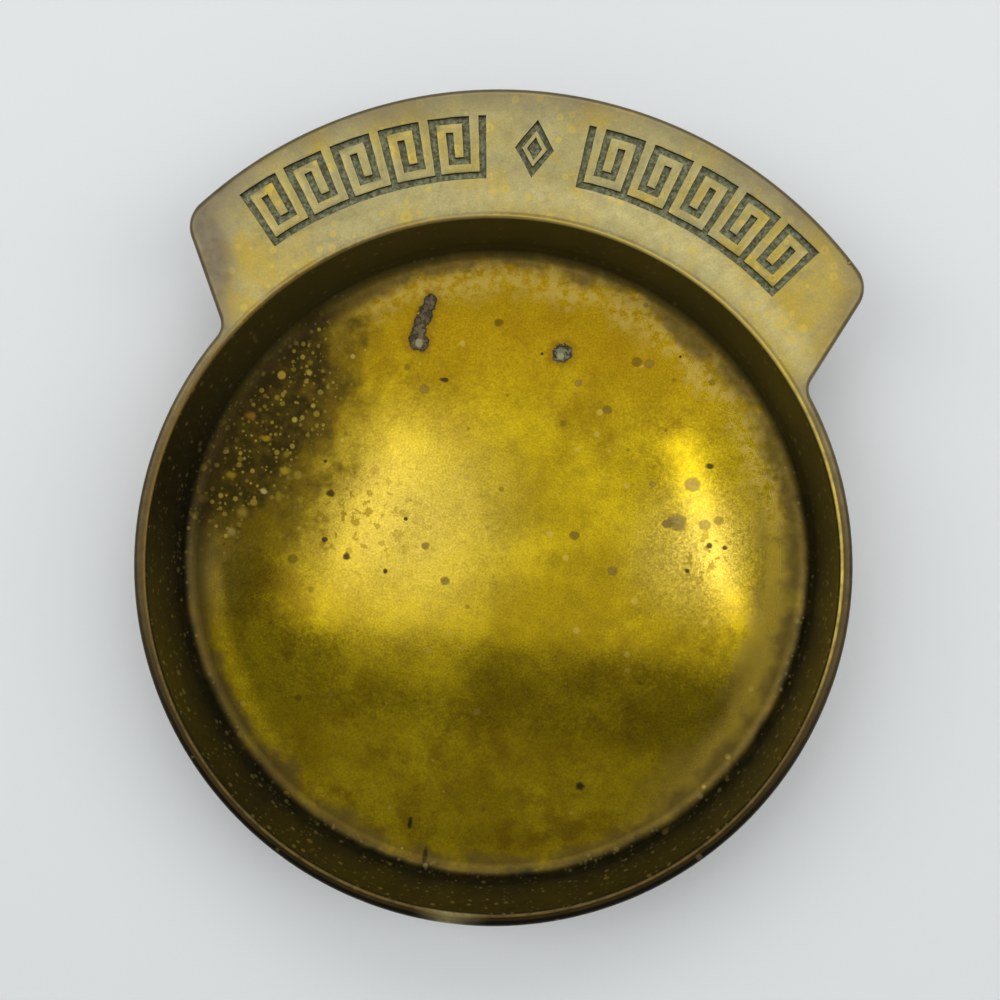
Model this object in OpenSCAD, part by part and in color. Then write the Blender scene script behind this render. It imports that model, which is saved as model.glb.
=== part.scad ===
// Coin tray: a round brass dish cast in one piece with a raised arc of flange along one side,
// and a disc of felt glued into the recess under its foot.
// The dish's axis is Z, the tray rests on z = 0, and the flange points along +Y.

/* [Dish] */
// Outside diameter of the dish at its rim
dish_d = 127; // [100:0.5:160]
// Height of the tray, from the table to the rim
tray_h = 22; // [18:0.5:30]
// Width of the rim, from its outer edge to the inner wall
rim_w = 2.5; // [2.3:0.1:5]
// Radius of the rim's outer edge
rim_outer_round = 1.2; // [0.6:0.1:1.3]
// Radius of the rim's inner edge
rim_inner_round = 0.7; // [0.3:0.1:0.8]
// Lean of the inner wall, in degrees
inner_draft = 5; // [1:0.5:10]
// Lean of the outer wall and of the flange's edges, in degrees
outer_draft = 4; // [1:0.5:6]

/* [Floor and foot] */
// Thickness of the casting under the edge of the floor
floor_t = 3.7; // [3:0.1:5]
// How far the middle of the turned floor dips below its edge
floor_dip = 0.7; // [0.2:0.1:1.2]
// Radius between the floor and the inner wall
floor_fillet = 3; // [1.5:0.5:6]
// Radius between the foot and the outer wall
heel_round = 4; // [2:0.5:6]
// Width of the turned ring that is left around the felt
foot_ring_w = 5; // [3:0.5:12]
// Depth of the recess that the felt is glued into
recess_depth = 0.5; // [0.3:0.1:1]

/* [Flange] */
// Thickness of the flange
flange_t = 4; // [3:0.1:6]
// Width of the flange at its middle, from the rim to its outer arc
flange_w = 20.9; // [18:0.1:30]
// Distance from the dish's axis to the centre of the outer arc
flange_arc_shift = 5.2; // [0:0.1:12]
// Angle from the flange's middle to the root of each side
flange_root_angle = 54.8; // [35:0.1:65]
// Lean of each side away from the flange's middle line, in degrees
flange_side_lean = 26; // [10:0.5:35]
// Radius of the two outer corners, in plan
corner_r = 5.5; // [3:0.5:9]
// Radius where each side runs into the rim, in plan
root_r = 3.2; // [2:0.1:6]
// Chamfer along the flange's lower edge
lower_chamfer = 0.5; // [0.2:0.1:1]
// Radius of the cove under the flange, against the outer wall
cove_r = 5; // [2:0.5:8]

/* [Felt] */
// Thickness of the felt
felt_t = 1; // [0.8:0.1:2]
// Gap between the felt and the wall of its recess
felt_gap = 0.3; // [0.1:0.1:0.8]

/* [Hidden] */
$fn = 144;

// Round edges cross the flat sides they run into by a hair, or stand a hair proud of them
hair = 0.02;
// How far a cutting shape runs past what it cuts
overcut = 1;

// Heights
foot_z = felt_t - recess_depth;
floor_z = foot_z + floor_t;
flange_z = tray_h - flange_t;
outer_edge_z = tray_h - rim_outer_round;
inner_edge_z = tray_h - rim_inner_round;

// Inside of the dish: wall, fillet and floor
dish_r = dish_d / 2;
bore_r = dish_r - rim_w;
wall_drop = inner_edge_z - floor_z - floor_fillet;
fillet_wall_r = bore_r - (wall_drop + floor_fillet * sin(inner_draft)) * tan(inner_draft);
fillet_c = [fillet_wall_r - floor_fillet * cos(inner_draft), floor_z + floor_fillet];
fillet_wall = fillet_c + floor_fillet * [cos(inner_draft), -sin(inner_draft)];

// The floor dips in rings from its edge down to a flat middle
floor_r = fillet_c[0];
floor_rings = 10;
floor_curve = concat([
    for (i = [floor_rings : -1 : 1])
        let (share = (i - 1) / (floor_rings - 1))
        [floor_r * i / floor_rings, floor_z - floor_dip * (1 - share * share)]
], [[0, floor_z - floor_dip]]);

// Outside of the dish: wall and heel
heel_wall_z = foot_z + heel_round * (1 - sin(outer_draft));
heel_wall_r = dish_r - (outer_edge_z - heel_wall_z) * tan(outer_draft);
heel_c = [heel_wall_r - heel_round * cos(outer_draft) + hair, foot_z + heel_round];
recess_r = heel_c[0] - foot_ring_w;
felt_r = recess_r - felt_gap;

// Plan of the flange, with angles measured clockwise from its middle line, +Y
function compass(a) = [sin(a), cos(a)];
side_dir = compass(flange_side_lean);
side_out = compass(flange_side_lean + 90);
arc_c = [0, flange_arc_shift];
flange_arc_r = dish_r + flange_w - flange_arc_shift;
root = dish_r * compass(flange_root_angle);

// Distance along a line from its start to a circle about the point c
function reach(start, dir, c, r) =
    let (d = start - c, b = d * dir)
    -b + sqrt(b * b - d * d + r * r);

// Centre of the corner's circle, which lies against the side and the outer arc from inside
corner_line = root - corner_r * side_out;
corner_c = corner_line + side_dir * reach(corner_line, side_dir, arc_c, flange_arc_r - corner_r);
corner_dir = (corner_c - arc_c) / norm(corner_c - arc_c);

// Centre of the root's circle, which touches the side and the rim from outside
root_line = root + root_r * side_out;
root_c = root_line + side_dir * reach(root_line, side_dir, [0, 0], dish_r + root_r);

// The straight side and the outer arc lap under the corner and the root, which stand a hair proud
lap = 0.2;
side_start = corner_c + corner_r * side_out + lap * side_dir;
side_end = root_c - root_r * side_out - lap * side_dir;
side_depth = corner_r + overcut;
arc_end = arc_c + 2 * (flange_arc_r * corner_dir + lap * [corner_dir[1], -corner_dir[0]]);

// The side and the arc are a hair thinner than the flange, whose flat middle runs out to this far
// from their edge
flat_inset = rim_outer_round + 0.4;
flat_root = root - (corner_r + overcut / 2) * side_out;
flat_start = root_c - (root_r + flat_inset) * side_out + lap / 2 * side_dir;
flat_end = corner_c + (corner_r - flat_inset) * side_out + lap / 2 * side_dir;
flat_corner = corner_c - overcut / 2 * side_out;

// Cove under the flange, sunk a hair into the outer wall and the flange's lower face
cove_sink = 0.1;
cove_wall_z = flange_z - cove_r * (1 - sin(outer_draft));
cove_wall_r = dish_r - (outer_edge_z - cove_wall_z) * tan(outer_draft);
cove_c = [cove_wall_r + cove_r * cos(outer_draft) - cove_sink, flange_z - cove_r + cove_sink];
cove_inset = 1;

// Middle of the rim's flat top, where the flange joins the dish
join_r = (bore_r + rim_inner_round + dish_r - rim_outer_round) / 2;

function left(p) = [-p[0], p[1]];

// Section of the dish to one side of its axis
module dish_section() {
    difference() {
        union() {
            polygon(concat([
                [0, foot_z + recess_depth],
                [recess_r, foot_z + recess_depth],
                [recess_r, foot_z],
                [heel_c[0], foot_z],
                heel_c,
                [heel_wall_r, heel_wall_z],
                [dish_r, outer_edge_z],
                [dish_r - rim_outer_round, outer_edge_z],
                [dish_r - rim_outer_round, tray_h],
                [bore_r + rim_inner_round, tray_h],
                [bore_r + rim_inner_round, inner_edge_z],
                [bore_r, inner_edge_z],
                fillet_wall,
                fillet_c
            ], floor_curve));
            intersection() {
                translate(heel_c) circle(heel_round);
                polygon([heel_c, [heel_c[0], 0], [dish_r, 0], [dish_r, heel_c[1] + overcut]]);
            }
            translate([dish_r - rim_outer_round, outer_edge_z]) circle(rim_outer_round);
            translate([bore_r + rim_inner_round, inner_edge_z]) circle(rim_inner_round);
        }
        translate(fillet_c) circle(floor_fillet);
    }
}

// Section of the flange from inner out to edge, along X. The edge leans, with a chamfer below and a
// round above, and both flat faces lie thinner by sunk.
module edge_section(edge, inner, sunk = 0) {
    lean = (outer_edge_z - flange_z - lower_chamfer) * tan(outer_draft);
    polygon([
        [inner, flange_z + sunk],
        [edge - lean - lower_chamfer, flange_z + sunk],
        [edge - lean, flange_z + lower_chamfer + sunk],
        [edge, outer_edge_z - sunk],
        [edge - rim_outer_round, outer_edge_z - sunk],
        [edge - rim_outer_round, tray_h - sunk],
        [inner, tray_h - sunk]
    ]);
    translate([edge - rim_outer_round, outer_edge_z - sunk]) circle(rim_outer_round);
}

// What lies within a plan, from under the flange to above it
module plan_block(plan) {
    translate([0, 0, flange_z - overcut])
        linear_extrude(height = flange_t + 2 * overcut) polygon(plan);
}

// The outer arc, cut from a disc about its own centre
module flange_arc() {
    intersection() {
        translate([0, flange_arc_shift, 0]) {
            rotate_extrude() edge_section(flange_arc_r, 0, hair / 2);
            translate([0, 0, flange_z]) cylinder(r = flange_arc_r - flat_inset, h = flange_t);
        }
        plan_block([arc_c, arc_end, [0, 2 * flange_arc_r], left(arc_end)]);
    }
}

// The flat middle
module flange_flat() {
    translate([0, 0, flange_z])
        linear_extrude(height = flange_t)
            polygon([
                [0, 0], flat_root, flat_start, flat_end, flat_corner,
                left(flat_corner), left(flat_end), left(flat_start), left(flat_root)
            ]);
}

// The right side: its outer corner, its straight edge, and the hollow root that runs into the rim
module flange_side() {
    intersection() {
        translate(corner_c) rotate_extrude() edge_section(corner_r + hair, 0);
        plan_block([
            corner_c, corner_c + 2 * corner_r * corner_dir,
            corner_c + 2 * corner_r * (corner_dir + side_out), corner_c + 2 * corner_r * side_out
        ]);
    }
    translate(side_start)
        rotate([90, 0, -flange_side_lean])
            linear_extrude(height = norm(side_start - side_end)) edge_section(0, -side_depth, hair / 2);
    intersection() {
        translate(root_c)
            rotate_extrude()
                mirror([1, 0]) edge_section(hair - root_r, -root_r - side_depth);
        plan_block([root_c, root_c - 2 * side_depth * side_out, [0, 0]]);
    }
}

module flange() {
    difference() {
        union() {
            flange_arc();
            flange_flat();
            flange_side();
            mirror([1, 0, 0]) flange_side();
        }
        translate([0, 0, flange_z - overcut])
            cylinder(r = join_r, h = flange_t + 2 * overcut);
    }
}

// The cove that thickens the flange's root from below, cut off just inside the flange's sides
module flange_cove() {
    side_in = root - cove_inset * side_out;
    inner_end = side_in - 2 * rim_w * side_dir;
    outer_end = side_in + 3 * cove_r * side_dir;
    intersection() {
        rotate_extrude()
            difference() {
                polygon([
                    [join_r, cove_wall_z],
                    [cove_c[0], cove_wall_z],
                    [cove_c[0], flange_z + lower_chamfer],
                    [join_r, flange_z + lower_chamfer]
                ]);
                translate(cove_c) circle(cove_r);
            }
        translate([0, 0, flange_z - 2 * cove_r])
            linear_extrude(height = 3 * cove_r)
                polygon([
                    [0, 0], inner_end, outer_end, [0, dish_d],
                    [-outer_end[0], outer_end[1]], [-inner_end[0], inner_end[1]]
                ]);
    }
}

module dish_casting() {
    color([0.66, 0.55, 0.25]) {
        rotate_extrude() dish_section();
        flange();
        flange_cove();
    }
}

module felt_pad() {
    color([0.10, 0.24, 0.14])
        cylinder(r = felt_r, h = felt_t);
}

dish_casting();
felt_pad();
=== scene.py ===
from math import atan2, cos, hypot, pi, radians, sin, sqrt, tan
import bpy
import bmesh
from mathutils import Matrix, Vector, noise as lumpy


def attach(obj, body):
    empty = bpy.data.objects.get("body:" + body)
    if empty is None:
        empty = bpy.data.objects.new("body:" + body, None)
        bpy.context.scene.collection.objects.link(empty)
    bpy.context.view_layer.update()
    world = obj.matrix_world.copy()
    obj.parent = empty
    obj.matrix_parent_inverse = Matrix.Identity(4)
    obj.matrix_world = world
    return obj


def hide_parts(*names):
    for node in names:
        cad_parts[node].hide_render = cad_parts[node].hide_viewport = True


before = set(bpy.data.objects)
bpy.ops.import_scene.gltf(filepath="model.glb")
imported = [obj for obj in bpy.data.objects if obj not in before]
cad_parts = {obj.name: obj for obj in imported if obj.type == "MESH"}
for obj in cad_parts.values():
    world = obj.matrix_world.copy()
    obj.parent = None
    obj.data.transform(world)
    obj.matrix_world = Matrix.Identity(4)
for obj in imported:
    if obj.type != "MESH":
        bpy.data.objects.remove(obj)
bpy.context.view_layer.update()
bpy.ops.object.select_all(action="DESELECT")

# Cast dish: the blank.
# The dish and its flange are poured as one piece of brass in sand, so every edge is rounded and
# every side leans. The hollow and the foot are then turned on a lathe.
MM = 0.001
RIM_R = 63.5
RIM_Z = 22.0
EDGE_ROUND = 1.2
EDGE_Z = RIM_Z - EDGE_ROUND
OUTER_DRAFT = radians(4)
LEAN = tan(OUTER_DRAFT)
ARC_R = 79.2
ARC_C = Vector((0, 5.2))
CORNER_R = 5.5
ROOT_R = 3.2
ROOT_ANGLE = 54.8
SIDE_LEAN = 26
FLANGE_Z = 18.0
LOWER_CHAMFER = 0.5
COVE_R = 5
RECESS_R = 53.4
RECESS_Z = 1.0
FOOT_Z = 0.5
FOOT_SOFT = 0.15
HEEL_C = (58.36, 4.5)
HEEL_R = 4
BORE_R = 61
LIP_ROUND = 0.7
LIP_Z = 21.3
INNER_DRAFT = 5
FILLET_R = 3
FLOOR_R = 56.76
FLOOR_Z = 4.2
FLOOR_DIP = 0.7


def compass(angle):
    """The way to a point of the plan, by its angle clockwise from the flange's middle."""
    return Vector((sin(angle), cos(angle)))


def reach(start, way, centre, radius):
    """How far a line runs from its start before it leaves a circle."""
    away = start - centre
    along = away.dot(way)
    return -along + sqrt(along * along - away.length_squared + radius * radius)


def arc_points(centre, radius, first, last, steps):
    turn = (last - first + pi) % (2 * pi) - pi
    return [centre + radius * compass(first + turn * i / steps) for i in range(steps)]


def bearing(vector):
    return atan2(vector.x, vector.y)


side_way = compass(radians(SIDE_LEAN))
side_out = compass(radians(SIDE_LEAN + 90))
root = RIM_R * compass(radians(ROOT_ANGLE))
corner_line = root - CORNER_R * side_out
corner_c = corner_line + side_way * reach(corner_line, side_way, ARC_C, ARC_R - CORNER_R)
root_line = root + ROOT_R * side_out
root_c = root_line + side_way * reach(root_line, side_way, Vector((0, 0)), RIM_R + ROOT_R)

# Right half of the outline seen from above, from the front of the dish round to the flange's middle
half = [(RIM_R * compass(pi + (bearing(root_c) - pi) * i / 80)) for i in range(80)]
half += arc_points(root_c, ROOT_R, bearing(-root_c), bearing(-side_out), 8)
side_low = root_c - ROOT_R * side_out
side_high = corner_c + CORNER_R * side_out
half += [side_low.lerp(side_high, i / 6) for i in range(6)]
half += arc_points(corner_c, CORNER_R, bearing(side_out), bearing(corner_c - ARC_C), 12)
half += arc_points(ARC_C, ARC_R, bearing(corner_c - ARC_C), 0, 44)
half.append(ARC_C + Vector((0, ARC_R)))
outline = half + [Vector((-p.x, p.y)) for p in reversed(half[1:-1])]
count = len(outline)
inward = []
for i, point in enumerate(outline):
    along = (outline[(i + 1) % count] - outline[i - 1]).normalized()
    across = Vector((-along.y, along.x))
    inward.append(across if across.dot(point) < 0 else -across)
outward = [p.normalized() for p in outline]


def round_ring(radius, height):
    return [(radius * way.x, radius * way.y, height) for way in outward]


def edge_ring(inset, height):
    return [(p.x + n.x * inset, p.y + n.y * inset, height) for p, n in zip(outline, inward)]


def between(ring_a, ring_b, share):
    return [tuple(Vector(a).lerp(Vector(b), share)) for a, b in zip(ring_a, ring_b)]


def wall_r(height):
    return RIM_R - (EDGE_Z - height) * LEAN


def floor_height(radius):
    return FLOOR_Z - FLOOR_DIP * (1 - (radius / FLOOR_R) ** 2)


# Foot, heel and outer wall
rings = [
    round_ring(RECESS_R, RECESS_Z),
    round_ring(RECESS_R, FOOT_Z + FOOT_SOFT),
    round_ring(RECESS_R + FOOT_SOFT, FOOT_Z),
    round_ring(56, FOOT_Z),
]
for step in range(8):
    turn = radians(-90 + 86 * step / 7)
    rings.append(round_ring(HEEL_C[0] + HEEL_R * cos(turn), HEEL_C[1] + HEEL_R * sin(turn)))
rings += [round_ring(wall_r(z), z) for z in (7, 10, 12.2)]

# Cove and underside of the flange. Where there is no flange these rings lie on the wall
overhang = [p.length - RIM_R for p in outline]
cove_z = FLANGE_Z - COVE_R * (1 - sin(OUTER_DRAFT))
cove_c = wall_r(cove_z) + COVE_R * cos(OUTER_DRAFT)
for step in range(8):
    turn = radians(176 - 86 * step / 7)
    height = FLANGE_Z - COVE_R + COVE_R * sin(turn)
    ring = []
    for way, width in zip(outward, overhang):
        share = min(max((width - 0.8) / 7, 0), 1)
        radius = wall_r(height) + (cove_c + COVE_R * cos(turn) - wall_r(height)) * share
        ring.append((radius * way.x, radius * way.y, height))
    rings.append(ring)


def low_ring(chamfer, height):
    """A ring along the flange's lower edge, whose chamfer fades out where there is no flange."""
    ring = []
    for p, n, width in zip(outline, inward, overhang):
        inset = (EDGE_Z - FLANGE_Z) * LEAN + chamfer * min(max(width / 1.5, 0), 1)
        ring.append((p.x + n.x * inset, p.y + n.y * inset, height))
    return ring


low_edge = low_ring(LOWER_CHAMFER, FLANGE_Z)
rings += [between(rings[-1], low_edge, share) for share in (0.06, 0.5, 0.94, 1)]
rings.append(low_ring(0.12, FLANGE_Z + 0.15))
rings += [edge_ring((EDGE_Z - z) * LEAN, z) for z in (18.5, 19.7)]

# Rounded outer edge, flat top and rounded inner lip
for step in range(7):
    turn = radians(90 * step / 6)
    rings.append(edge_ring(EDGE_ROUND * (1 - cos(turn)), EDGE_Z + EDGE_ROUND * sin(turn)))
top_outer = edge_ring(1.5, RIM_Z)
top_inner = round_ring(61.85, RIM_Z)
rings += [between(top_outer, top_inner, share) for share in (0, 0.1, 0.9, 1)]
for step in range(6):
    turn = radians(90 + 90 * step / 5)
    rings.append(round_ring(BORE_R + LIP_ROUND + LIP_ROUND * cos(turn), LIP_Z + LIP_ROUND * sin(turn)))

# Inner wall, fillet and the floor, which dips in the middle
for z in (17.5, 14, 10.5):
    rings.append(round_ring(BORE_R - (LIP_Z - z) * tan(radians(INNER_DRAFT)), z))
for step in range(10):
    turn = radians(-INNER_DRAFT - (90 - INNER_DRAFT) * step / 9)
    rings.append(round_ring(FLOOR_R + FILLET_R * cos(turn), FLOOR_Z + FILLET_R + FILLET_R * sin(turn)))
for radius in (55, 51, 46, 41, 36, 31, 26, 21, 16, 11, 7, 3.5, 1.2):
    rings.append(round_ring(radius, floor_height(radius)))

bpy.ops.mesh.primitive_circle_add(vertices=count, radius=RECESS_R * MM, location=(0, 0, RECESS_Z * MM))
casting = bpy.context.object
casting.name = "cast_dish"
bpy.ops.object.transform_apply(location=True, rotation=True, scale=True)
bpy.ops.object.mode_set(mode="EDIT")
bpy.ops.mesh.select_mode(type="VERT")
bpy.ops.mesh.select_all(action="SELECT")


def place_ring(ring):
    """Moves the ring of points that is selected to its place."""
    mesh = bmesh.from_edit_mesh(casting.data)
    picked = sorted((v for v in mesh.verts if v.select), key=lambda v: atan2(v.co.x, v.co.y))
    places = sorted(ring, key=lambda p: atan2(p[0], p[1]))
    for vert, place in zip(picked, places):
        vert.co = Vector(place) * MM
    bmesh.update_edit_mesh(casting.data)


place_ring(rings[0])
bpy.ops.mesh.edge_face_add()
for ring in rings[1:]:
    bpy.ops.mesh.extrude_edges_move()
    place_ring(ring)
bpy.ops.mesh.extrude_edges_move()
bpy.ops.mesh.merge(type="CENTER")
bpy.ops.mesh.select_all(action="SELECT")
bpy.ops.mesh.remove_doubles(threshold=0.015 * MM)
bpy.ops.mesh.normals_make_consistent(inside=False)
bpy.ops.object.mode_set(mode="OBJECT")

# Carved border on the flange.
# The border is a plain key pattern in two runs with a lozenge between them, cut 0.85 mm deep into
# the cast brass with a narrow chisel, so its corners are a little soft and uneven.
CELL = 1.4
ROWS = 8
BORDER_R = 68.2
CUT_DEEP = 0.85
ABOVE = 0.4
KEY = ("XXXXX.", "X...X.", "X.X.X.", "X.X.X.", "X.X.X.", "X.XXX.", "X.....", "XXXXXX")
KEYS = 5
COLUMNS = KEYS * 6 + 1
STROKE = 0.86
HALF_GAP = 8.6
LOZENGE = (3.4, 5.1)
LOZENGE_BAND = 1.0
LOZENGE_MIDDLE = (1.3, 2.0)


def deselect_all(kind):
    bpy.ops.object.mode_set(mode="EDIT")
    bpy.ops.mesh.select_mode(type=kind)
    bpy.ops.mesh.select_all(action="DESELECT")
    bpy.ops.object.mode_set(mode="OBJECT")


def on_border(middle, outer=80.5, turn=44):
    """Whether a place in mm lies on the part of the flange that carries the border."""
    return 66 < hypot(middle.x, middle.y) < outer and abs(atan2(middle.x, middle.y)) < radians(turn)


def slim(place, stroke_cells, total):
    """Narrows the strokes of the key and widens the gaps between them, in cells."""
    cell = min(int(place), total - 1)
    gap = (total - STROKE * len(stroke_cells)) / (total - len(stroke_cells))
    lines = [0.0]
    for index in range(total):
        lines.append(lines[-1] + (STROKE if index in stroke_cells else gap))
    return lines[cell] + (lines[cell + 1] - lines[cell]) * (place - cell)


def sink_cutter(cutter):
    """Wraps a flat cutter round the dish's axis and pulls it down through the flange's top."""
    bpy.ops.object.transform_apply(location=True, rotation=True, scale=True)
    for vert in cutter.data.vertices:
        radius = BORDER_R * MM + vert.co.y
        angle = vert.co.x / ((BORDER_R + 4 * CELL) * MM)
        vert.co = (radius * sin(angle), radius * cos(angle), (RIM_Z + ABOVE) * MM)
    bpy.ops.object.mode_set(mode="EDIT")
    bpy.ops.mesh.select_all(action="SELECT")
    bpy.ops.transform.vertex_random(offset=0.045 * MM, uniform=1, seed=4)
    down = (0, 0, -(CUT_DEEP + ABOVE) * MM)
    bpy.ops.mesh.extrude_region_move(TRANSFORM_OT_translate={"value": down})
    bpy.ops.mesh.select_all(action="SELECT")
    bpy.ops.mesh.normals_make_consistent(inside=False)
    bpy.ops.object.mode_set(mode="OBJECT")


def carve(cutter, kind):
    """Cuts one shape out of the casting."""
    cut = casting.modifiers.new(kind, "BOOLEAN")
    cut.operation = "DIFFERENCE"
    cut.solver = "EXACT"
    cut.object = cutter
    bpy.context.view_layer.objects.active = casting
    bpy.ops.object.modifier_apply(modifier=cut.name)
    bpy.data.objects.remove(cutter)


cutters = []
for side in (-1, 1):
    bpy.ops.mesh.primitive_grid_add(x_subdivisions=COLUMNS, y_subdivisions=ROWS, size=2)
    run = bpy.context.object
    run.scale = (COLUMNS * CELL * MM / 2, 4 * CELL * MM, 1)
    run.location = (side * (HALF_GAP + COLUMNS * CELL / 2) * MM, 4 * CELL * MM, 0)
    deselect_all("FACE")
    for face in run.data.polygons:
        column = int((face.center.x + 1) / 2 * COLUMNS)
        row = int((1 - face.center.y) / 2 * ROWS)
        if side > 0:
            column = COLUMNS - 1 - column
        face.select = KEY[row][column % 6] == "."
    bpy.ops.object.mode_set(mode="EDIT")
    bpy.ops.mesh.delete(type="FACE")
    bpy.ops.object.mode_set(mode="OBJECT")
    upright = {c for c in range(COLUMNS) if c % 6 in (0, 2, 4)}
    for vert in run.data.vertices:
        vert.co.x = slim((vert.co.x + 1) / 2 * COLUMNS, upright, COLUMNS) / COLUMNS * 2 - 1
        vert.co.y = slim((vert.co.y + 1) / 2 * ROWS, {0, 2, 7}, ROWS) / 4 - 1
    sink_cutter(run)
    cutters.append(run)
for size in (LOZENGE, LOZENGE_MIDDLE):
    bpy.ops.mesh.primitive_circle_add(
        vertices=4, radius=1, fill_type="NGON", location=(0, 4 * CELL * MM, 0))
    lozenge = bpy.context.object
    lozenge.scale = (size[0] * MM, size[1] * MM, 1)
    bpy.ops.object.transform_apply(location=True, rotation=True, scale=True)
    bpy.ops.object.mode_set(mode="EDIT")
    bpy.ops.mesh.select_all(action="SELECT")
    if size == LOZENGE:
        bpy.ops.mesh.inset(thickness=LOZENGE_BAND * MM)
        bpy.ops.mesh.delete(type="FACE")
        bpy.ops.mesh.select_all(action="SELECT")
    bpy.ops.mesh.subdivide(number_cuts=2)
    bpy.ops.object.mode_set(mode="OBJECT")
    sink_cutter(lozenge)
    cutters.append(lozenge)

# One flat face under each run keeps the cuts' edges clean
bpy.ops.object.select_all(action="DESELECT")
bpy.context.view_layer.objects.active = casting
casting.select_set(True)
deselect_all("FACE")
for face in casting.data.polygons:
    middle = face.center / MM
    face.select = abs(middle.z - RIM_Z) < 0.001 and on_border(middle, outer=78, turn=45)
bpy.ops.object.mode_set(mode="EDIT")
bpy.ops.mesh.dissolve_faces()
bpy.ops.object.mode_set(mode="OBJECT")
for cutter in cutters:
    carve(cutter, "carve")


def soften_cuts(height, width):
    """Rounds the cuts' edges that lie at one height."""
    deselect_all("EDGE")
    mesh = bmesh.new()
    mesh.from_mesh(casting.data)
    for edge in mesh.edges:
        level = all(abs(v.co.z / MM - height) < 0.002 for v in edge.verts)
        inside = on_border((edge.verts[0].co + edge.verts[1].co) / 2 / MM)
        steep = sorted(abs(f.normal.z) for f in edge.link_faces)
        edge.select = bool(level and inside and steep[0] < 0.5 < steep[-1])
    mesh.to_mesh(casting.data)
    mesh.free()
    bpy.ops.object.mode_set(mode="EDIT")
    bpy.ops.mesh.bevel(offset=width * MM, segments=2, affect="EDGES", clamp_overlap=True)
    bpy.ops.object.mode_set(mode="OBJECT")


soften_cuts(RIM_Z, 0.2)
soften_cuts(RIM_Z - CUT_DEEP, 0.32)

# Pits and a nick.
# Damp has eaten a long patch and a round one out of the turned floor, a third of a millimetre deep,
# and a knock has left a small nick on the flange's edge.
PITS = (
    (-17.6, 47.5, 1.15, 1.9, -12), (-18.3, 44.8, 1.5, 2.1, -12), (-18.9, 42.2, 1.3, 1.9, -6),
    (-18.9, 40.1, 1.75, 1.6, 0), (8.6, 40.7, 1.75, 1.6, 20),
)
PIT_DEEP = 0.35
NICK = (57.0, 59.4, 0.7, 0.45, 45)
NICK_Z = 21.9
for pit in (*PITS, NICK):
    pit_x, pit_y, wide, long, turn = pit
    height = NICK_Z if pit == NICK else floor_height(hypot(pit_x, pit_y))
    middle = Vector((pit_x, pit_y, height)) * MM
    place = (pit_x * MM, pit_y * MM, height * MM)
    bpy.ops.mesh.primitive_ico_sphere_add(subdivisions=4, radius=1, location=place)
    dent = bpy.context.object
    dent.scale = (wide * MM, long * MM, PIT_DEEP * MM)
    dent.rotation_euler.z = radians(turn)
    bpy.ops.object.transform_apply(location=True, rotation=True, scale=True)
    for vert in dent.data.vertices:
        vert.co = middle + (vert.co - middle) * (0.95 + 0.35 * lumpy.noise(vert.co / MM * 1.1))
    carve(dent, "pit")

# Slivers left by the cuts are closed up
bpy.ops.object.select_all(action="DESELECT")
casting.select_set(True)
bpy.ops.object.mode_set(mode="EDIT")
bpy.ops.mesh.select_mode(type="VERT")
bpy.ops.mesh.select_all(action="SELECT")
bpy.ops.mesh.remove_doubles(threshold=0.012 * MM)
bpy.ops.mesh.dissolve_degenerate(threshold=0.005 * MM)
bpy.ops.object.mode_set(mode="OBJECT")
bpy.ops.object.shade_smooth_by_angle(angle=radians(35))
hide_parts("dish_casting")
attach(casting, "root")

# Finish of the brass.
# Bare brass that has aged by itself: greenish tan on the flange, brown at the edges, nearly black on
# the wall and at the floor's upper left, and still yellow on the turned floor, with specks, rings
# and corroded marks left by damp. Light and shade are also painted into the colour: highlights and
# shade on the floor, shade on the rim's front, the lip, the cuts' sides and the left fillet, a sheen
# by the lip and a lighter far wall.


def paint(red, green, blue):
    """A colour as it shows on a screen, made linear."""
    return tuple(((c / 255 + 0.055) / 1.055) ** 2.4 for c in (red, green, blue)) + (1,)


def node(tree, kind, sockets, out=0, **settings):
    made = tree.nodes.new("ShaderNode" + kind)
    for key, value in settings.items():
        setattr(made, key, value)
    for key, value in sockets.items():
        if isinstance(value, bpy.types.NodeSocket):
            tree.links.new(value, made.inputs[key])
        else:
            made.inputs[key].default_value = value
    return made.outputs[out]


def maths(tree, operation, *values):
    return node(tree, "Math", dict(enumerate(values)), operation=operation)


def product(tree, first, *others):
    for other in others:
        first = maths(tree, "MULTIPLY", first, other)
    return first


def larger(tree, first, second):
    return maths(tree, "MAXIMUM", first, second)


def rest_of(tree, share):
    return maths(tree, "SUBTRACT", 1.0, share)


def rise(tree, value, low, high):
    """0 below low and 1 above high, or the other way round where high is less than low."""
    settings = {"From Min": low, "From Max": high}
    return node(tree, "MapRange", {"Value": value, **settings}, interpolation_type="SMOOTHSTEP")


def spread(tree, value, first, last, low=0.3, high=0.7):
    """Runs from first to last while value runs from low to high."""
    settings = {"From Min": low, "From Max": high, "To Min": first, "To Max": last}
    return node(tree, "MapRange", {"Value": value, **settings})


def mixed(tree, share, first, second):
    return node(tree, "Mix", {0: share, 6: first, 7: second}, out=2, data_type="RGBA")


def shaded(tree, colour, light):
    """Darkens or lightens a colour by a factor."""
    return node(tree, "HueSaturation", {"Value": light, "Color": colour})


def noise(tree, place, size, detail=4.0, rough=0.55, warp=0.0):
    settings = {"Scale": 1 / size, "Detail": detail, "Roughness": rough, "Distortion": warp}
    return node(tree, "TexNoise", {"Vector": place, **settings})


def wave(tree, place, size, swing, detail):
    """Noise that swings by as much to both sides of 0."""
    return spread(tree, noise(tree, place, size, detail=detail), -swing, swing, 0.25, 0.75)


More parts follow.
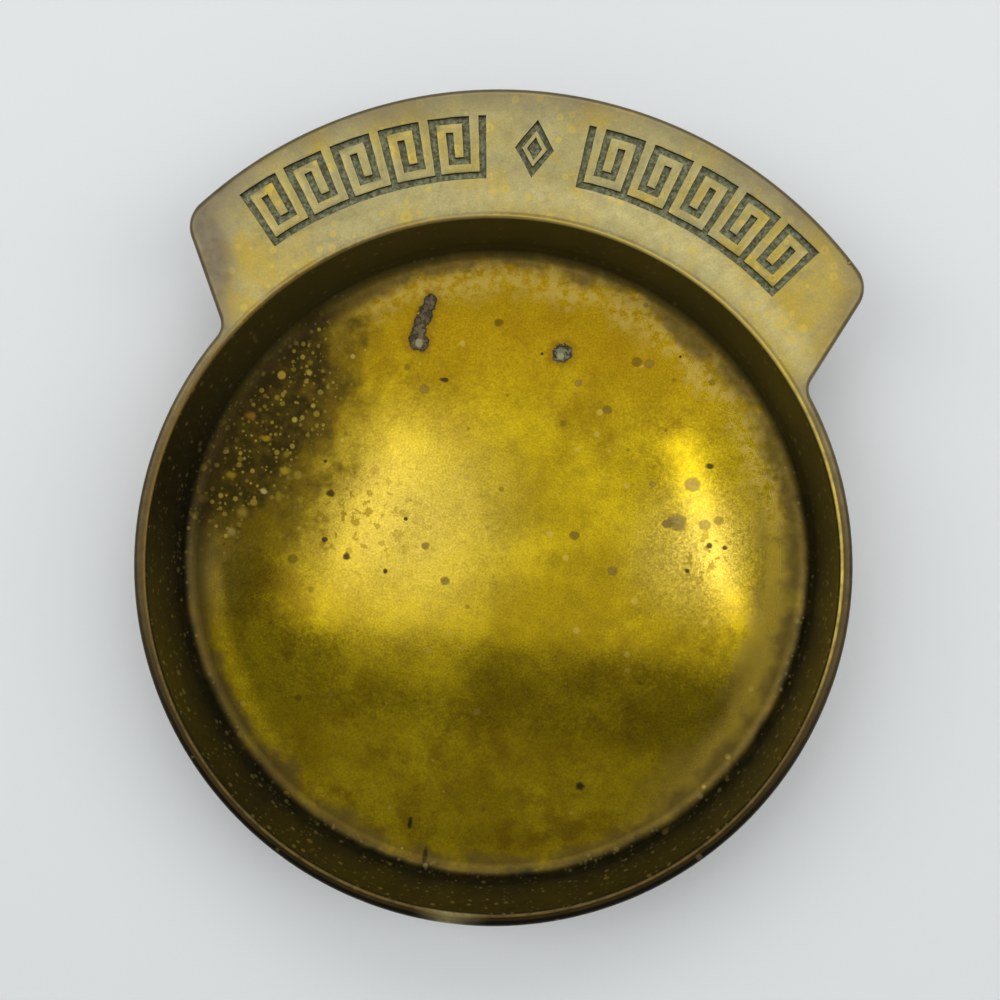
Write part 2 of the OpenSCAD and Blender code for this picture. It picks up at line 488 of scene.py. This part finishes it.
def spots(tree, place, size, radius):
    """Round marks of uneven size, one to a cell. radius is a share of the cell's size."""
    cell = node(tree, "TexVoronoi", {"Vector": place, "Scale": 1 / size, "Randomness": 1.0})
    luck = node(tree, "SeparateColor", {"Color": cell.node.outputs["Color"]}).node.outputs
    edge = product(tree, luck[0], luck[0], radius)
    away = maths(tree, "DIVIDE", cell, maths(tree, "ADD", edge, 0.001))
    return away, rise(tree, away, 1.0, 0.6), luck[1]


def distance(tree, place, x, y):
    return node(tree, "VectorMath", {0: place, 1: (x, y, 0)}, out=1, operation="DISTANCE")


def near(tree, place, x, y, far):
    """1 at a point of the plan, falling to 0 at the distance far."""
    return rise(tree, distance(tree, place, x, y), far, 0)


def off(tree, value, middle):
    """How far a value is from the middle of a band, to either side."""
    return maths(tree, "ABSOLUTE", maths(tree, "SUBTRACT", value, middle))


def toward(tree, place, x, y):
    """How far a point of the plan lies in one direction."""
    return node(tree, "VectorMath", {0: place, 1: (x, y, 0)}, out=1, operation="DOT_PRODUCT")


def blot(tree, place, wobble, x, y, wide, long, turn=0.0):
    """How far a point of the plan is from a mark's middle: 1 at the mark's edge. Sizes are in mm."""
    if wide == long:
        return maths(tree, "MULTIPLY_ADD", distance(tree, place, x, y), 1 / wide, wobble)
    turn = radians(turn)
    from_middle = node(tree, "VectorMath", {0: place, 1: (x, y, 0)}, operation="SUBTRACT")
    across = toward(tree, from_middle, cos(turn) / wide, sin(turn) / wide)
    length = toward(tree, from_middle, -sin(turn) / long, cos(turn) / long)
    away = maths(tree, "MULTIPLY_ADD", across, across, product(tree, length, length))
    return maths(tree, "ADD", maths(tree, "SQRT", away), wobble)


def new_finish(name):
    """A material's nodes and shader, and the place on the piece in mm."""
    finish = bpy.data.materials.new(name)
    finish.use_nodes = True
    tree = finish.node_tree
    object_place = node(tree, "TexCoord", {}, out=3)
    place = node(tree, "VectorMath", {0: object_place, "Scale": 1000.0}, operation="SCALE")
    return finish, tree, tree.nodes["Principled BSDF"], place


brass, tree, shader, place = new_finish("aged_brass")
x, y, z = node(tree, "SeparateXYZ", {0: place}).node.outputs
flat_place = node(tree, "CombineXYZ", {0: x, 1: y})
radius = node(tree, "VectorMath", {0: flat_place}, out=1, operation="LENGTH")

# Distance in from the outline, in mm
arc_depth = maths(tree, "SUBTRACT", ARC_R, distance(tree, flat_place, *ARC_C))
side_x = product(tree, maths(tree, "SUBTRACT", root.x, maths(tree, "ABSOLUTE", x)), side_out.x)
side_y = product(tree, maths(tree, "SUBTRACT", root.y, y), side_out.y)
flange_depth = maths(tree, "MINIMUM", arc_depth, maths(tree, "ADD", side_x, side_y))
depth = larger(tree, maths(tree, "SUBTRACT", RIM_R, radius), flange_depth)

# Clouds, mottles and grain that the whole casting shares
cloud = noise(tree, place, 14, detail=5)
mottle = noise(tree, place, 2.4, detail=6, rough=0.65)
fine = noise(tree, place, 0.8, detail=5, rough=0.7)
grain = noise(tree, place, 0.4, detail=4, rough=0.65)
wobble = wave(tree, place, 0.9, 0.28, detail=3)
grain_light = product(tree, spread(tree, grain, 0.8, 1.2), spread(tree, fine, 0.9, 1.1))

# Greenish tan of the flange, with yellower clouds, the strokes of an old brush and a pale painted sheen by
# the lip
YELLOW_PATCHES = ((-51, 45, 14, 0.26), (44, 55, 26, 0.14), (57, 40, 18, 0.28), (14, 72, 24, 0.06))
tan_brass = mixed(tree, rise(tree, cloud, 0.42, 0.62), paint(160, 149, 100), paint(166, 147, 80))
green_mottle = product(tree, rise(tree, mottle, 0.42, 0.68), 0.55)
tan_brass = mixed(tree, green_mottle, tan_brass, paint(134, 126, 88))
yellow = noise(tree, place, 7, detail=6, rough=0.65, warp=0.6)
for x_at, y_at, size, more in YELLOW_PATCHES:
    yellow = maths(tree, "ADD", yellow, product(tree, near(tree, flat_place, x_at, y_at, size), more))
yellow = product(tree, rise(tree, yellow, 0.54, 0.74), spread(tree, fine, 0.6, 0.95, 0.35, 0.65), 0.85)
tan_brass = mixed(tree, yellow, tan_brass, paint(168, 144, 50))
# Painted sheen: a pale band next to the lip, stronger to the right and broken up by the mottle
lip_sheen_band = product(tree, rise(tree, off(tree, radius, 65.5), 4, 0), rise(tree, x, -60, 20),
                   spread(tree, mottle, 0.85, 0.4))
tan_brass = mixed(tree, lip_sheen_band, tan_brass, paint(184, 172, 118))
stroke_sockets = {0: place, 2: (0, 0, radians(-58)), 3: (0.5, 11, 4)}
stroke_place = node(tree, "Mapping", stroke_sockets, vector_type="TEXTURE")
tan_brass = shaded(tree, tan_brass, spread(tree, noise(tree, stroke_place, 1), 0.97, 1.03))
grained = product(tree, spread(tree, fine, 0.9, 1.1), spread(tree, grain, 0.9, 1.1))
tan_brass = shaded(tree, tan_brass, grained)
for size, share in ((4.2, 0.26), (2.1, 0.36)):
    away, spot, luck = spots(tree, place, size, share)
    ring = product(tree, rise(tree, away, 1.3, 0.95), rise(tree, away, 0.3, 0.8), 0.65)
    tan_brass = mixed(tree, ring, tan_brass, paint(190, 164, 72))

# Browner towards the outer edge, most of all at the left corner
corner = product(tree, near(tree, flat_place, -66, 49, 24), 12)
wavy_depth = maths(tree, "ADD", depth, wave(tree, place, 8, 2.5, detail=5))
edge_depth = maths(tree, "SUBTRACT", wavy_depth, corner)
edge_brown = mixed(tree, rise(tree, mottle, 0.35, 0.65), paint(100, 90, 76), paint(116, 106, 84))
tan_brass = mixed(tree, product(tree, rise(tree, edge_depth, 7, -4), 0.95), tan_brass, edge_brown)
outermost = product(tree, rise(tree, depth, 1.2, 0.3), 0.5)
tan_brass = mixed(tree, outermost, tan_brass, paint(86, 76, 54))

# The bare rim: grey-brown, with painted shade that darkens it towards the front, and the smaller spots of the
# flange
# Painted shade: the rim is painted darker towards the front, nearly black at the very front
rim_brown_and_shade = mixed(tree, rise(tree, y, 44, 5), paint(128, 115, 80), paint(80, 68, 44))
rim_brown_and_shade = mixed(tree, rise(tree, y, -5, -45), rim_brown_and_shade, paint(34, 30, 18))
rim_brown_and_shade = shaded(tree, rim_brown_and_shade, spread(tree, mottle, 0.8, 1.2))
rim_brown_and_shade = mixed(tree, product(tree, spot, 0.5), rim_brown_and_shade, paint(134, 112, 62))
tan_brass = mixed(tree, rise(tree, flange_depth, 2.5, -3), tan_brass, rim_brown_and_shade)

# The lip: a bright line, partly worn brass and partly painted highlight that is brightest at the right and
# dimmer at the front, with a dark line of painted shade beside it where the top rolls over
# Painted shade: a dark line on the top where it rolls over into the lip
dark_line = product(tree, rise(tree, off(tree, radius, 62.05), 0.4, 0.1),
                    spread(tree, cloud, 0.2, 0.55, 0.35, 0.65))
tan_brass = mixed(tree, dark_line, tan_brass, paint(86, 70, 34))
# Painted highlight: the lip's line is paler at the right and darker at the front
worn_and_highlight = mixed(tree, rise(tree, x, -40, 35), paint(122, 94, 38), paint(206, 180, 84))
worn_and_highlight = mixed(tree, rise(tree, y, 12, -25), worn_and_highlight, paint(96, 78, 38))
bright_line = product(tree, rise(tree, off(tree, radius, 61.45), 0.38, 0.12),
                      spread(tree, mottle, 0.4, 1, 0.3, 0.6))
tan_brass = mixed(tree, bright_line, tan_brass, worn_and_highlight)

# Turned floor: deep yellow in olive and brown clouds, with painted shade that darkens it outwards and
# towards the far side, a pale painted highlight in two places and brown flecks in the same places
gold_cloud = noise(tree, place, 13, detail=5, rough=0.6)
gold = mixed(tree, rise(tree, gold_cloud, 0.34, 0.68), paint(172, 148, 16), paint(142, 119, 10))
olive_mottle = product(tree, rise(tree, mottle, 0.42, 0.7), 0.45)
gold = mixed(tree, olive_mottle, gold, paint(124, 104, 16))
# Painted shade: darker outwards, where the floor mirrors dimmer light
gold = shaded(tree, gold, spread(tree, radius, 1.04, 0.74, 24, 56))
brown_cloud = noise(tree, place, 9, detail=6, rough=0.65)
brown_cloud = product(tree, rise(tree, brown_cloud, 0.46, 0.66), spread(tree, radius, 0.2, 0.8, 15, 48))
gold = mixed(tree, brown_cloud, gold, paint(112, 86, 8))
# Orange-brown towards the far side: partly the floor's own tone, partly painted shade
gold = mixed(tree, product(tree, rise(tree, y, 20, 46), 0.6), gold, paint(152, 118, 6))
# Painted highlight: paler brass where the floor mirrors the left panel and the right strip
pale_highlight = larger(tree, near(tree, flat_place, -17, 6, 30), near(tree, flat_place, 38, 6, 18))
pale_highlight = product(tree, pale_highlight, spread(tree, fine, 0.35, 0.75))
gold = mixed(tree, pale_highlight, gold, paint(184, 162, 72))
flecks = maths(tree, "ADD", near(tree, flat_place, -28, 6, 19), near(tree, flat_place, 40.5, 6, 11))
flecks = product(tree, flecks, rise(tree, noise(tree, place, 2.0, detail=3), 0.56, 0.61), 0.8)
gold = mixed(tree, flecks, gold, paint(112, 90, 16))
gold = shaded(tree, gold, grain_light)

# Tan crackle along the wall at the far side, dull brown at the right and grey-brown at the left
wall_wobble = wave(tree, place, 6, 3, detail=4)
wavy_radius = maths(tree, "ADD", radius, wall_wobble)
far_right = toward(tree, flat_place, 0.35, 0.94)
crackle = noise(tree, place, 2.2, detail=6, rough=0.75)
crackle = product(tree, rise(tree, wavy_radius, 48.5, 53), rise(tree, far_right, 16, 36),
                  rise(tree, crackle, 0.42, 0.56), 0.8)
gold = mixed(tree, crackle, gold, paint(164, 140, 62))
right_band = product(tree, rise(tree, wavy_radius, 47, 52), rise(tree, x, 26, 44), rise(tree, y, 24, 2), 0.75)
gold = mixed(tree, right_band, gold, paint(142, 120, 44))
near_wall = product(tree, rise(tree, wavy_radius, 54, 57.5), spread(tree, mottle, 0.9, 0.6))
gold = mixed(tree, near_wall, gold, paint(90, 74, 34))

# Nearly black patina at the upper left, with specks that it has spared
big_wobble = noise(tree, place, 6, detail=6, rough=0.65)
big_wobble = spread(tree, big_wobble, -0.34, 0.34, 0.25, 0.75)
patina_edge = blot(tree, flat_place, big_wobble, -56, 24, 19, 30, -22)
gold = mixed(tree, product(tree, rise(tree, patina_edge, 1.7, 1.0), 0.8), gold, paint(100, 79, 12))
patina = rise(tree, patina_edge, 1.45, 0.75)
black_patina = mixed(tree, rise(tree, mottle, 0.4, 0.65), paint(42, 34, 8), paint(62, 50, 12))
gold = mixed(tree, patina, gold, black_patina)
left_brown = mixed(tree, fine, paint(92, 78, 32), paint(130, 112, 52))
gold = mixed(tree, product(tree, near(tree, flat_place, -57, -9, 14), 0.6), gold, left_brown)
spared = rise(tree, patina_edge, 1.35, 0.95)
SPARED_SPECKS = (
    (0.9, 0.55, (84, 72, 22), (116, 100, 34)),
    (1.4, 0.55, (88, 76, 20), (132, 112, 44)),
    (2.6, 0.4, (96, 82, 20), (140, 114, 44)),
)
for size, share, dull_paint, pale_paint in SPARED_SPECKS:
    away, spot, luck = spots(tree, place, size, share)
    tint = mixed(tree, luck, paint(*dull_paint), paint(*pale_paint))
    gold = mixed(tree, product(tree, spot, spared, 0.9), gold, tint)
# Painted shade: the fillet at the left is darkened to dim its reflection of the left lamp
left_fillet_shade = product(tree, rise(tree, radius, 54.5, 57), rise(tree, x, -15, -45), 0.55)
gold = mixed(tree, left_fillet_shade, gold, paint(64, 50, 22))
AMBER_MARKS = (
    (-49.3, 22.5, 1.1, 0.8, (112, 78, 22)), (-45.9, 18.6, 1.1, 0.6, (122, 100, 18)),
    (-45.2, 8.5, 0.7, 0.6, (146, 130, 76)), (-48.8, 4.0, 1.2, 1.2, (108, 92, 30)),
    (-50.6, 0.1, 0.9, 0.9, (118, 104, 50)), (-56.5, 5.8, 1.0, 1.0, (88, 70, 24)),
    (-51.8, 10.9, 1.0, 0.7, (112, 92, 20)), (-39.1, 32.0, 0.6, 0.6, (132, 118, 44)),
    (-56.7, 16.1, 0.8, 0.8, (84, 62, 20)), (-41.6, 12.8, 1.1, 0.8, (124, 106, 24)),
    (-42.2, 7.7, 0.7, 1.0, (110, 94, 20)),
)
for x_at, y_at, wide, long, mark_paint in AMBER_MARKS:
    amber = rise(tree, blot(tree, flat_place, wobble, x_at, y_at, wide, long), 1.3, 0.35)
    gold = mixed(tree, product(tree, amber, 0.9), gold, paint(*mark_paint))

# Specks all over the floor, rings left by drying drops, and small dark pits
away, spot, luck = spots(tree, place, 3.4, 0.24)
tint = mixed(tree, rise(tree, luck, 0.4, 0.6), paint(88, 70, 18), paint(170, 148, 62))
gold = mixed(tree, product(tree, spot, 0.55), gold, tint)
DRIED_DROPS = (
    (22.8, 40.5, 1.0, (105, 83, 16)), (-4.0, 45.2, 0.85, (96, 76, 15)),
    (18.2, 30.9, 0.9, (108, 87, 30)), (12.2, 35.4, 0.7, (129, 105, 46)),
    (14.6, 6.6, 0.95, (107, 87, 33)), (22.5, 0.7, 0.95, (114, 95, 39)),
    (-38.2, -3.8, 0.95, (103, 85, 18)), (28.3, 17.9, 0.6, (129, 110, 38)),
    (-16.8, 31.2, 0.9, (126, 100, 45)), (35.6, 18.6, 1.5, (114, 95, 44)),
    (33.6, 11.2, 1.8, (115, 99, 50)), (31.7, 10.7, 0.9, (103, 87, 42)),
    (38.8, 11.2, 1.1, (117, 100, 45)), (41.3, 12.3, 0.9, (112, 95, 39)),
    (-8.8, -4.7, 0.9, (107, 90, 38)), (-13.3, 1.5, 0.8, (110, 94, 39)),
    (25.2, 40.4, 0.9, (126, 104, 42)),
)
for x_at, y_at, size, inside_paint in DRIED_DROPS:
    away = blot(tree, flat_place, product(tree, wobble, 0.6), x_at, y_at, size, size * 0.88)
    gold = mixed(tree, product(tree, rise(tree, away, 1.2, 0.9), 0.6), gold, paint(88, 70, 16))
    inside_share = product(tree, rise(tree, away, 0.98, 0.7), 0.75)
    gold = mixed(tree, inside_share, gold, shaded(tree, paint(*inside_paint), grain_light))
SMALL_PITS = (
    (-32.5, 9.5, 0.9, 0.8), (-34.1, 15.5, 0.4, 0.4), (-32.6, 0.6, 0.6, 0.6), (-17.6, 6.2, 0.4, 0.36),
    (-13.2, 33.3, 1.0, 0.45), (-28.1, -2.2, 0.8, 0.7), (-20.4, -4.1, 0.5, 0.5), (40.0, 7.5, 0.7, 0.6),
    (36.4, 2.3, 0.5, 0.45), (42.9, 7.4, 0.5, 0.4), (38.5, 22.4, 0.8, 0.6), (-10.3, -50.8, 0.5, 1.3),
    (-6.8, -56.6, 0.5, 1.6), (20.8, -40.2, 0.8, 0.8), (4.8, 40.2, 0.3, 0.3), (30.8, 42.3, 0.3, 0.3),
)
for mark in SMALL_PITS:
    dark_mark = rise(tree, blot(tree, flat_place, wobble, *mark), 1.25, 0.6)
    gold = mixed(tree, dark_mark, gold, paint(60, 49, 20))

# The two corroded pits: brown stain round them, dark edge and lumpy grey crust with a pale dot
crust = None
for pit in PITS:
    away = blot(tree, flat_place, product(tree, wobble, 1.2), *pit)
    crust = away if crust is None else maths(tree, "MINIMUM", crust, away)
gold = mixed(tree, product(tree, rise(tree, crust, 2.2, 1.2), 0.6), gold, paint(112, 84, 12))
gold = mixed(tree, rise(tree, crust, 1.22, 1.0), gold, paint(58, 48, 24))
brown_lumps = mixed(tree, rise(tree, fine, 0.42, 0.58), paint(60, 50, 30), paint(112, 97, 64))
grey_share = rise(tree, x, 0, 4)
grey_lumps = mixed(tree, rise(tree, fine, 0.42, 0.56), paint(66, 60, 38), paint(120, 118, 90))
lumps = mixed(tree, grey_share, brown_lumps, grey_lumps)
gold = mixed(tree, rise(tree, crust, 1.0, 0.8), gold, lumps)
for x_at, y_at, size in ((-18.8, 39.9, 0.85), (8.3, 40.2, 0.75)):
    pale_dot = rise(tree, blot(tree, flat_place, wobble, x_at, y_at, size, size), 1.1, 0.7)
    gold = mixed(tree, pale_dot, gold, paint(150, 146, 104))

# Dark inner wall with pale specks, with painted light that makes it lighter towards the far side
dark = mixed(tree, rise(tree, mottle, 0.4, 0.65), paint(42, 38, 20), paint(32, 29, 16))
# Painted light: the wall is painted lighter towards the far side
dark = mixed(tree, product(tree, rise(tree, y, 5, 45), 0.85), dark, paint(88, 78, 34))
wall_place = node(tree, "VectorMath", {0: place, 1: (1, 1, 0.7)}, operation="MULTIPLY")
WALL_SPECKS = ((0.9, 0.5, (88, 79, 42)), (1.6, 0.42, (110, 99, 56)), (3.4, 0.24, (118, 98, 48)))
for size, share, speck_paint in WALL_SPECKS:
    away, spot, luck = spots(tree, wall_place, size, share)
    dark = mixed(tree, product(tree, spot, 0.85), dark, paint(*speck_paint))
wall_start = maths(tree, "ADD", radius, product(tree, wall_wobble, 0.3))
inside_colour = mixed(tree, rise(tree, wall_start, 57.2, 59.6), gold, dark)
inside = product(tree, rise(tree, radius, 61.35, 61.05), rise(tree, z, 2.8, 3.0))
heel = product(tree, rise(tree, radius, 59.9, 60.3), rise(tree, z, 5.6, 5.2))
inside = product(tree, inside, rest_of(tree, heel))
colour = mixed(tree, inside, tan_brass, inside_colour)

# Outside and underside: the cast skin, dull and dark
skin = noise(tree, place, 7, detail=6)
skin = mixed(tree, rise(tree, skin, 0.4, 0.65), paint(98, 84, 54), paint(80, 69, 45))
skin = shaded(tree, skin, spread(tree, fine, 0.8, 1.2))
below = product(tree, rise(tree, z, 20.9, 20.2), rest_of(tree, inside))
colour = mixed(tree, below, colour, skin)
tree.links.new(colour, shader.inputs["Base Color"])

# The turned floor is smooth and the rest dull. The crust and most of the wall are no bare metal
corroded = rise(tree, crust, 1.2, 1.0)
dull = larger(tree, larger(tree, product(tree, patina, 0.7), rise(tree, radius, 50, 57)), corroded)
floor_rough = node(tree, "Mix", {0: dull, 2: spread(tree, fine, 0.06, 0.1), 3: 0.42})
roughness = node(tree, "Mix", {0: inside, 2: spread(tree, fine, 0.36, 0.5), 3: floor_rough})
tree.links.new(roughness, shader.inputs["Roughness"])
oxide = larger(tree, product(tree, rise(tree, radius, 58.8, 60), 0.65), corroded)
tree.links.new(rest_of(tree, product(tree, oxide, inside)), shader.inputs["Metallic"])
shader.inputs["Specular IOR Level"].default_value = 0.2
shader.inputs["Coat Weight"].default_value = 0.05
shader.inputs["Coat Roughness"].default_value = 0.12
wave_sockets = {"Strength": 0.15, "Distance": 0.0001, "Height": noise(tree, place, 8, detail=0)}
waves = node(tree, "Bump", wave_sockets)
grain_sockets = {"Strength": 0.12, "Distance": 0.000008, "Height": grain, "Normal": waves}
tree.links.new(node(tree, "Bump", grain_sockets), shader.inputs["Normal"])

# Grey-green tarnish in the cuts of the border, with painted shade darkening the upper part of their sides
verdigris, tree, shader, place = new_finish("verdigris_in_cuts")
height = node(tree, "SeparateXYZ", {0: place}, out=2)
tarnish = noise(tree, place, 0.7, detail=6, rough=0.7)
colour = mixed(tree, rise(tree, tarnish, 0.38, 0.62), paint(84, 84, 58), paint(150, 154, 118))
brown_share = product(tree, rise(tree, noise(tree, place, 1.5), 0.45, 0.7), 0.7)
colour = mixed(tree, brown_share, colour, paint(106, 96, 60))
# Painted shade: the cuts' sides are dark brown towards the top
colour = mixed(tree, rise(tree, height, 21.3, 21.6), colour, paint(44, 38, 24))
tree.links.new(colour, shader.inputs["Base Color"])
shader.inputs["Roughness"].default_value = 0.75
shader.inputs["Metallic"].default_value = 0.3
bump = node(tree, "Bump", {"Strength": 0.8, "Distance": 0.0002, "Height": tarnish})
tree.links.new(bump, shader.inputs["Normal"])

casting.data.materials.clear()
casting.data.materials.append(brass)
casting.data.materials.append(verdigris)
for face in casting.data.polygons:
    middle = face.center / MM
    low = RIM_Z - CUT_DEEP - 0.1 < middle.z < RIM_Z - 0.22
    face.material_index = 1 if low and on_border(middle) else 0

# Felt disc under the foot.
# A disc of dark green wool felt, cut out with a knife and glued into the shallow recess of the
# foot, so it stands half a millimetre proud and keeps the brass off the table.
FELT_R = 53.1
FELT_T = 1.0
felt_middle = (0, 0, FELT_T / 2 * MM)
bpy.ops.mesh.primitive_cylinder_add(
    vertices=160, radius=FELT_R * MM, depth=FELT_T * MM, location=felt_middle)
felt = bpy.context.object
felt.name = "felt_disc"
bpy.ops.object.transform_apply(location=True, rotation=True, scale=True)
deselect_all("FACE")
for face in felt.data.polygons:
    face.select = face.normal.z < -0.9
bpy.ops.object.mode_set(mode="EDIT")
bpy.ops.mesh.inset(thickness=0.4 * MM)
bpy.ops.mesh.select_all(action="DESELECT")
bpy.ops.object.mode_set(mode="OBJECT")
wool, tree, shader, place = new_finish("green_felt")
fibre = noise(tree, place, 0.5, detail=8, rough=0.75, warp=1.5)
colour = mixed(tree, rise(tree, fibre, 0.35, 0.65), paint(26, 52, 34), paint(58, 88, 62))
tree.links.new(colour, shader.inputs["Base Color"])
shader.inputs["Roughness"].default_value = 0.95
shader.inputs["Sheen Weight"].default_value = 0.4
bump = node(tree, "Bump", {"Strength": 0.7, "Distance": 0.0002, "Height": fibre})
tree.links.new(bump, shader.inputs["Normal"])
felt.data.materials.clear()
felt.data.materials.append(wool)
bpy.ops.object.shade_smooth_by_angle(angle=radians(35))
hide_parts("felt_pad")
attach(felt, "root")

# Table, lights and camera.
# A plain pale table top under soft lamps on both sides and behind. Flat panels and two narrow strips
# hang over the dish, where its floor mirrors them, and the camera is almost straight over it.
bpy.ops.mesh.primitive_plane_add(size=6, location=(0, 0, 0))
table = bpy.context.object
table.name = "table_top"
pale = bpy.data.materials.new("pale_table")
pale.use_nodes = True
table_shader = pale.node_tree.nodes["Principled BSDF"]
table_shader.inputs["Base Color"].default_value = paint(229, 231, 231)
table_shader.inputs["Roughness"].default_value = 0.7
table.data.materials.append(pale)


def lamp(name, place, width, length, power, turn=None):
    """Faces the dish, or straight down and turned in plan where a turn is given."""
    light = bpy.data.lights.new(name, "AREA")
    light.shape = "RECTANGLE"
    light.size = width
    light.size_y = length
    light.energy = power
    made = bpy.data.objects.new(name, light)
    bpy.context.collection.objects.link(made)
    made.location = place
    if turn is None:
        made.rotation_euler = (-Vector(place)).to_track_quat("-Z", "Y").to_euler()
    else:
        made.rotation_euler = (0, 0, radians(turn))


lamp("lamp_left", (-0.6, 0.1, 0.75), 0.45, 0.8, 2.55)
lamp("lamp_right", (0.6, 0.1, 0.75), 0.45, 0.8, 2.4)
lamp("lamp_back", (0, 0.7, 0.7), 0.9, 0.4, 2.35)
lamp("lamp_over", (-0.025, 0.032, 0.9), 0.34, 0.23, 0.24, 0)
lamp("lamp_far", (0.03, 0.3, 0.9), 0.6, 0.34, 0.486, 0)
lamp("strip_right", (0.108, 0.012, 0.88), 0.012, 0.14, 0.025, 23)
lamp("strip_left", (-0.134, -0.01, 0.88), 0.03, 0.15, 0.016, -19)
lamp("panel_left", (-0.1, -0.02, 0.88), 0.085, 0.2, 0.017, 0)
lamp("panel_front", (-0.04, -0.19, 0.88), 0.35, 0.09, 0.022, 0)

world = bpy.data.worlds.new("studio")
world.use_nodes = True
sky = world.node_tree.nodes["Background"]
sky.inputs["Color"].default_value = (0.95, 0.98, 1, 1)
sky.inputs["Strength"].default_value = 0.35
bpy.context.scene.world = world

camera = bpy.data.objects.new("camera", bpy.data.cameras.new("camera"))
bpy.context.collection.objects.link(camera)
camera.location = (0.01144, 0.00735, 0.25288)
camera.rotation_euler = (radians(1.291), radians(2.529), radians(6.297))
camera.data.lens = 47.33
camera.data.sensor_width = 36
camera.data.clip_start = 0.01
bpy.context.scene.camera = camera
bpy.context.scene.view_settings.view_transform = "Standard"
